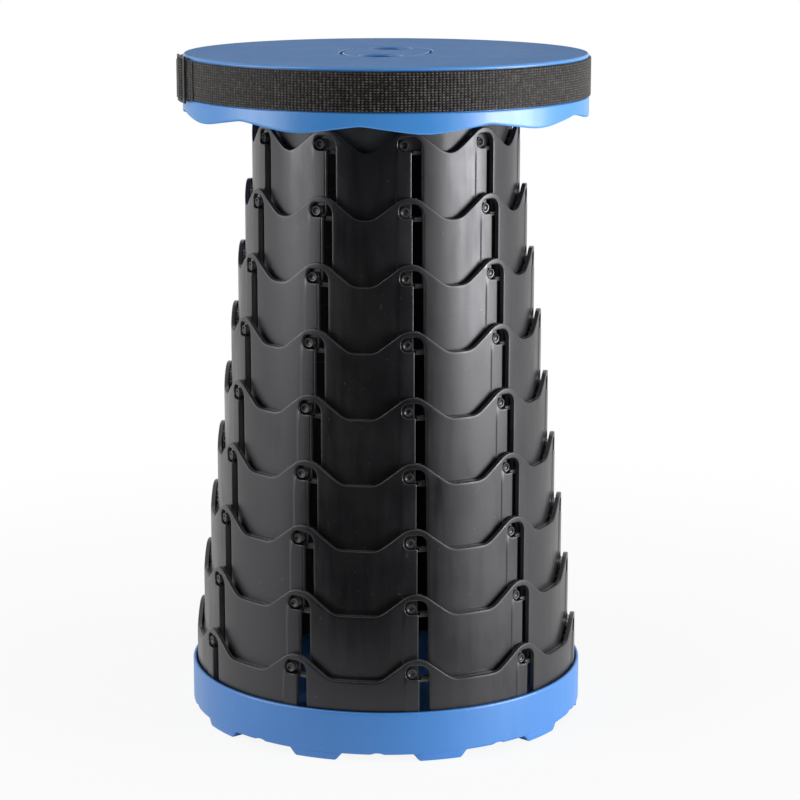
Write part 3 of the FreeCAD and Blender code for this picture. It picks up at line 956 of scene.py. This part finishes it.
def tail_lift(angle):
    """Distance of the doubled end from the band: it rises over the buckle's middle bar."""
    beside = np.abs(angle - buckle_angle) / degree
    over = bar_width / 2 + gap_width
    return (buckle_outer + 0.1 - strap_outer) * (1 - smooth_step(beside, over - 5.5, over - 1.0))


def tail_outlines(angles):
    """Cross-section of the doubled end at each angle, thinner at its two cut ends."""
    near = strap_outer + tail_lift(angles)
    flat = rounded_box(0.0, tail_thickness, strap_low, strap_top, 0.5)
    loops = np.repeat(flat[None], len(angles), axis=0)
    from_end = np.minimum(angles - tail_end, tail_start - angles)
    thin = 0.3 + 0.7 * smooth_step(from_end, 0, 2.5)
    loops[..., 0] = near[:, None] + loops[..., 0] * thin[:, None]
    return loops


band = swept(rounded_box(strap_inner, strap_outer, strap_low, strap_top, 0.6), full_circle)
under_bar, past_bar = -81, -71
tail_angles = np.concatenate([
    spaced(tail_end, under_bar, 1.2), spaced(under_bar, past_bar, 0.15),
    spaced(past_bar, tail_start + 0.1, 0.7), [tail_start],
])
tail = swept(tail_outlines(tail_angles), tail_angles, closed=False)
make_piece("strap", band + tail, webbing, "seat", ["strap_band"])

# %% [markdown]
# ## The buckle
# A three-bar slider of black plastic joins the strap's two ends. Its bars and rails are
# rounded boxes, bent to the rim of the seat.

# %% Buckle
buckle_colours = ((0.006, 0.006, 0.006), (0.009, 0.009, 0.009))
buckle_black = moulded_plastic(
    "buckle_black", *buckle_colours, 0.48, specular=0.2, grain=(900.0, 0.00002)
)
buckle_low, buckle_high = strap_low - 0.3, strap_top + 0.3
rail = 2.2
buckle_corner = 0.5


def bent_box(middle, width, low, high, steps):
    """Box bent to the rim of the seat: its middle is an angle, and its width is in millimetres."""
    angles = middle + np.linspace(-width / 2, width / 2, steps) * degree
    outline = rounded_box(buckle_inner, buckle_outer, low, high, buckle_corner)
    return swept(outline, angles, closed=False)


buckle_parts = []
for offset in (-1, 0, 1):
    middle = buckle_angle + offset * (bar_width + gap_width) * degree
    buckle_parts += bent_box(middle, bar_width, buckle_low - 0.5, buckle_high + 0.5, 5)
for low in (buckle_low - rail, buckle_high):
    buckle_parts += bent_box(buckle_angle, 3 * bar_width + 2 * gap_width, low, low + rail, 17)
make_piece("slider_buckle", buckle_parts, buckle_black, "seat", ["strap_buckle"])

# %% [markdown]
# ## The base
# The base is a tray turned from one profile. Its wall has a shallow scoop in its lower edge between
# every two feet, and the feet are blocks with S-shaped ends, set back a little. Thin ribs under the
# floor stiffen it.

# %% Base
wall_edge, wall_top = 4.7, 30.8
floor_low = 6.6
foot_angle = first_column + 8.2
foot_inner, foot_outer = 109.4, base_radius - 0.8
foot_flat, foot_half = 11.5, 17.0
scoop_rise, scoop_half = 0.9, 4.0
rib_circles, rib_end = (20.0, 62.0), 115.0


def base_rows(angle):
    """Underside, wall and floor. The wall's lower edge has a parabola between every two feet."""
    beside = base_radius * np.radians((angle - foot_angle) % column_step - column_step / 2)
    edge = wall_edge + scoop_rise * np.clip(1 - (beside / scoop_half) ** 2, 0, 1)
    rows = [(0.0, floor_low), (base_inner, floor_low), (base_inner, edge), (base_radius - 0.6, edge)]
    rows += [(base_radius - 0.18, edge + 0.18), (base_radius, edge + 0.6)]
    rows += [(base_radius, edge + above) for above in (1.4, 2.2, 9.0, 16.0, 23.0)]
    rows.append((base_radius, wall_top - 1.7))
    rows += rounded_edge(base_radius, wall_top, 0.9, (0, 30, 60, 90))
    rows += rounded_edge(base_inner, wall_top, 0.6, (90, 60, 30, 0), way=1)
    return rows + [(base_inner, floor_top), (0.0, floor_top)]


def foot_outlines(beside):
    """Cross-sections of a foot, whose lower side rises in an S at both ends."""
    low = wall_edge * smooth_step(np.abs(beside), foot_flat, foot_half - 0.1)
    return np.stack([rounded_box(foot_inner, foot_outer, z, floor_low + 0.2, 0.6) for z in low])


base_angles = spaced(0, 360, 0.5)
base_parts = swept(stacked_rows(base_rows(base_angles), base_angles), base_angles)
foot_end = np.linspace(foot_flat, foot_half, 13)
across_foot = np.concatenate([-foot_end[::-1], [-6.0, 0.0, 6.0], foot_end])
foot_turn = np.degrees(across_foot / ((foot_inner + foot_outer) / 2))
foot = swept(foot_outlines(across_foot), foot_angle + foot_turn, closed=False)
base_rib = radial_rib(rib_circles[0], rib_end, wall_edge, floor_low + 0.2, foot_angle)
base_parts += all_round(foot + [base_rib])
for middle in rib_circles:
    outline = rounded_box(middle - 1, middle + 1, wall_edge, floor_low + 0.2, 0.2, 1)
    base_parts += swept(outline, full_circle)
make_piece("base", base_parts, base_blue, "base", ["base_shell"], sharp=50)

# %% [markdown]
# ## The screws
# The screws under the seat are simple and hardly seen, so the solid from the drawing is kept and
# only gets a steel of its own.

# %% Screws
steel, steel_tree, steel_shader = new_material("screw_steel", {"Metallic": 1.0, "Roughness": 0.32})
steel_noise = noise(steel_tree, object_place(steel_tree), 900.0, 3.0)
steel_colour = ramp_between(steel_tree, steel_noise, 0.3, 0.7, (0.42, 0.42, 0.43), (0.6, 0.6, 0.61))
feed(steel_shader, "Base Color", steel_colour)
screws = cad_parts["collar_screws"]
screws.data.materials.clear()
screws.data.materials.append(steel)
print("screws:", len(screws.data.polygons), "faces")

# %% [markdown]
# ## Floor and backdrop
# The stool stands in a white studio. Lamps could burn the background out, but they would burn out
# the stool too. So the floor and the world shine where the camera or a mirrored ray meets them, and
# stay dim for the light that falls on the stool.

# %% White floor and world
def seen_directly(tree):
    """1 for a ray from the camera, a mirrored one or one through glass, and 0 for soft light."""
    path = tree.nodes.new("ShaderNodeLightPath").outputs
    seen = math_node(tree, "MAXIMUM", path["Is Camera Ray"], path["Is Glossy Ray"])
    return math_node(tree, "MAXIMUM", seen, path["Is Transmission Ray"])


def card(name, corners, shade):
    """Flat matt card of a grey shade, part of the studio and not of the stool."""
    mesh = bpy.data.meshes.new(name)
    mesh.from_pydata(corners, [], [tuple(range(len(corners)))])
    piece = bpy.data.objects.new(name, mesh)
    scene.collection.objects.link(piece)
    sockets = {"Base Color": (shade, shade, shade, 1), "Roughness": 1.0, "Specular IOR Level": 0.0}
    mesh.materials.append(new_material(name, sockets)[0])
    return piece


reach = 4.0
floor_corners = [(-reach, -reach, 0.0), (reach, -reach, 0.0), (reach, reach, 0.0), (-reach, reach, 0.0)]
floor_tree = card("floor", floor_corners, 0.9).data.materials[0].node_tree
floor_shader = floor_tree.nodes["Principled BSDF"]
away = vector_value(floor_tree, "LENGTH", object_place(floor_tree))
share = ranged(floor_tree, away, (0.15, 0.8), (0.9, 1.0), "SMOOTHSTEP")
glow = floor_tree.nodes.new("ShaderNodeEmission")
mix = floor_tree.nodes.new("ShaderNodeMixShader")
glowing = times(floor_tree, seen_directly(floor_tree), share)
sources = (glowing, floor_shader.outputs["BSDF"], glow.outputs["Emission"])
for socket, source in zip(mix.inputs, sources):
    floor_tree.links.new(source, socket)
feed(floor_tree.nodes["Material Output"], "Surface", mix.outputs["Shader"])
world = bpy.data.worlds.new("studio")
scene.world = world
world.use_nodes = True
world_tree = world.node_tree
background = world_tree.nodes["Background"]
background.inputs["Color"].default_value = (1, 1, 1, 1)
soft_light = 0.32
world_light = math_node(world_tree, "MAXIMUM", seen_directly(world_tree), soft_light)
feed(background, "Strength", world_light)
print("floor", 2 * reach, "m wide, soft light", soft_light)

# %% [markdown]
# ## Lamps and a dark card
# Satin black shows its shape by what it mirrors. A long soft lamp stands low on the right and draws
# the bright band down the right panels, a weaker one on the left does the same there, and a small
# lamp high on the left lights the top of the seat. The middle panels mirror what is in front, and a
# photographer stands a dark card there. This one leans away from the stool, and only mirrored rays
# meet it.

# %% Lamps
def soft_lamp(name, angle, distance, height, size, power):
    """Rectangular lamp at an angle round the stool, turned towards its axis."""
    lamp = bpy.data.objects.new(name, bpy.data.lights.new(name, "AREA"))
    lamp.data.shape = "RECTANGLE"
    lamp.data.size, lamp.data.size_y = size
    lamp.data.energy = power
    scene.collection.objects.link(lamp)
    turn = math.radians(angle)
    lamp.location = (distance * math.sin(turn), -distance * math.cos(turn), height)
    lamp.rotation_euler = (math.atan2(distance, height - aim_height), 0.0, turn)
    return lamp


aim_height = 0.3
lamps = [
    soft_lamp("right_lamp", 71, 1.6, 0.27, (1.05, 0.5), 30.0),
    soft_lamp("left_lamp", -74, 1.6, 0.38, (0.85, 0.46), 8.6),
    soft_lamp("high_lamp", -60, 1.3, 1.35, (0.3, 0.3), 4.0),
]
card_corners = [(0.22, -0.25, 0.004), (0.9, -2.2, 2.0), (-2.2, -2.2, 2.0), (-0.4, -0.25, 0.004)]
dark_card = card("dark_card", card_corners, 0.01)
dark_card.visible_camera = False
dark_card.visible_diffuse = False
dark_card.visible_shadow = False
scene.view_settings.view_transform = "Standard"
print("lamps:", [lamp.name for lamp in lamps])
